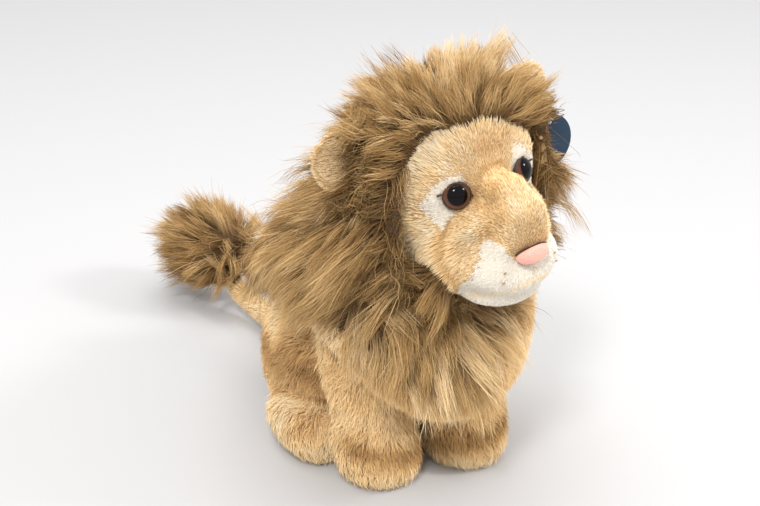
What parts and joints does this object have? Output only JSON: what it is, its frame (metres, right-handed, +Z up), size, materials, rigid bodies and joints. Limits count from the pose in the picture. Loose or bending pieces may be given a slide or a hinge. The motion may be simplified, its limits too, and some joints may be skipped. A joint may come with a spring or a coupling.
{
  "type": "plush lion",
  "caption": "Sitting plush lion with a long pile mane, sewn muzzle, plastic safety eyes, folding ears, a tufted tail that swings, a head that turns and a blank swing tag.",
  "frame": {"origin": "middle of the flat under the seat, where the toy rests on the floor", "axes": "+Z up, +Y from the face to the tail, so the lion faces -Y, and +X towards the lion's own left side"},
  "size_m": [0.1494, 0.3871, 0.2362],
  "materials": {
    "blond_plush": "short cut pile, blond",
    "white_plush": "short cut pile, off-white",
    "mane_pile": "long shaggy pile, brown with sandy tips",
    "nose_cloth": "fine velvety cloth, pink",
    "eye_plastic": "clear domed plastic over a brown ring and a black pupil",
    "washer_plastic": "moulded, white",
    "fibre_fill": "loose polyester fibre",
    "pellet_cloth": "thin woven cloth bag",
    "tag_card": "coated card, dark blue and blank",
    "loop_nylon": "thin nylon loop, clear"
  },
  "bodies": {
    "torso": {"torso_skin": "blond_plush", "torso_stuffing": "fibre_fill", "seat_pellet_bag": "pellet_cloth", "foreleg_left": "blond_plush", "foreleg_right": "blond_plush", "haunch_left": "blond_plush", "haunch_right": "blond_plush", "hind_foot_left": "blond_plush", "hind_foot_right": "blond_plush", "mane_bib": "mane_pile", "mane_back": "mane_pile", "mane_shoulder_left": "mane_pile", "mane_shoulder_right": "mane_pile"},
    "head": {"head_skin": "blond_plush", "head_stuffing": "fibre_fill", "muzzle": "white_plush", "chin": "white_plush", "nose_bridge": "blond_plush", "nose": "nose_cloth", "cheek_left": "blond_plush", "cheek_right": "blond_plush", "eye_patch_left": "white_plush", "eye_patch_right": "white_plush", "eye_left": "eye_plastic", "eye_right": "eye_plastic", "eye_washer_left": "washer_plastic", "eye_washer_right": "washer_plastic", "mane_crown": "mane_pile", "mane_side_left": "mane_pile", "mane_side_right": "mane_pile", "tag_loop": "loop_nylon"},
    "ear_left": {"ear_back_left": "blond_plush", "ear_lining_left": "white_plush"},
    "ear_right": {"ear_back_right": "blond_plush", "ear_lining_right": "white_plush"},
    "tail": {"tail_stem": "blond_plush", "tail_tuft": "mane_pile"},
    "tag": {"swing_tag": "tag_card"}
  },
  "joints": [
    {"name": "head_turn", "type": "hinge", "parent": "torso", "child": "head", "pos_m": [0, -0.085, 0.136], "axis": [0, -0.5736, 0.8192], "range_deg": [-32, 8], "stiffness_Nm_per_rad": 0.15},
    {"name": "ear_fold_left", "type": "hinge", "parent": "head", "child": "ear_left", "pos_m": [0.04138, -0.09489, 0.20483], "axis": [-0.204, -0.0251, 0.9786], "range_deg": [-15, 20], "stiffness_Nm_per_rad": 0.004},
    {"name": "ear_fold_right", "type": "hinge", "parent": "head", "child": "ear_right", "pos_m": [-0.05056, -0.1109, 0.19362], "axis": [-0.0335, 0.0046, 0.9994], "range_deg": [-20, 15], "stiffness_Nm_per_rad": 0.004},
    {"name": "tail_swing", "type": "hinge", "parent": "torso", "child": "tail", "pos_m": [0, 0.043, 0.03], "axis": [0, 0, 1], "range_deg": [-24, 20], "stiffness_Nm_per_rad": 0.03},
    {"name": "tag_swing", "type": "hinge", "parent": "head", "child": "tag", "pos_m": [0.06023, -0.10696, 0.19488], "axis": [-0.1703, 0.9853, -0.0103], "range_deg": [-24, 8]}
  ]
}
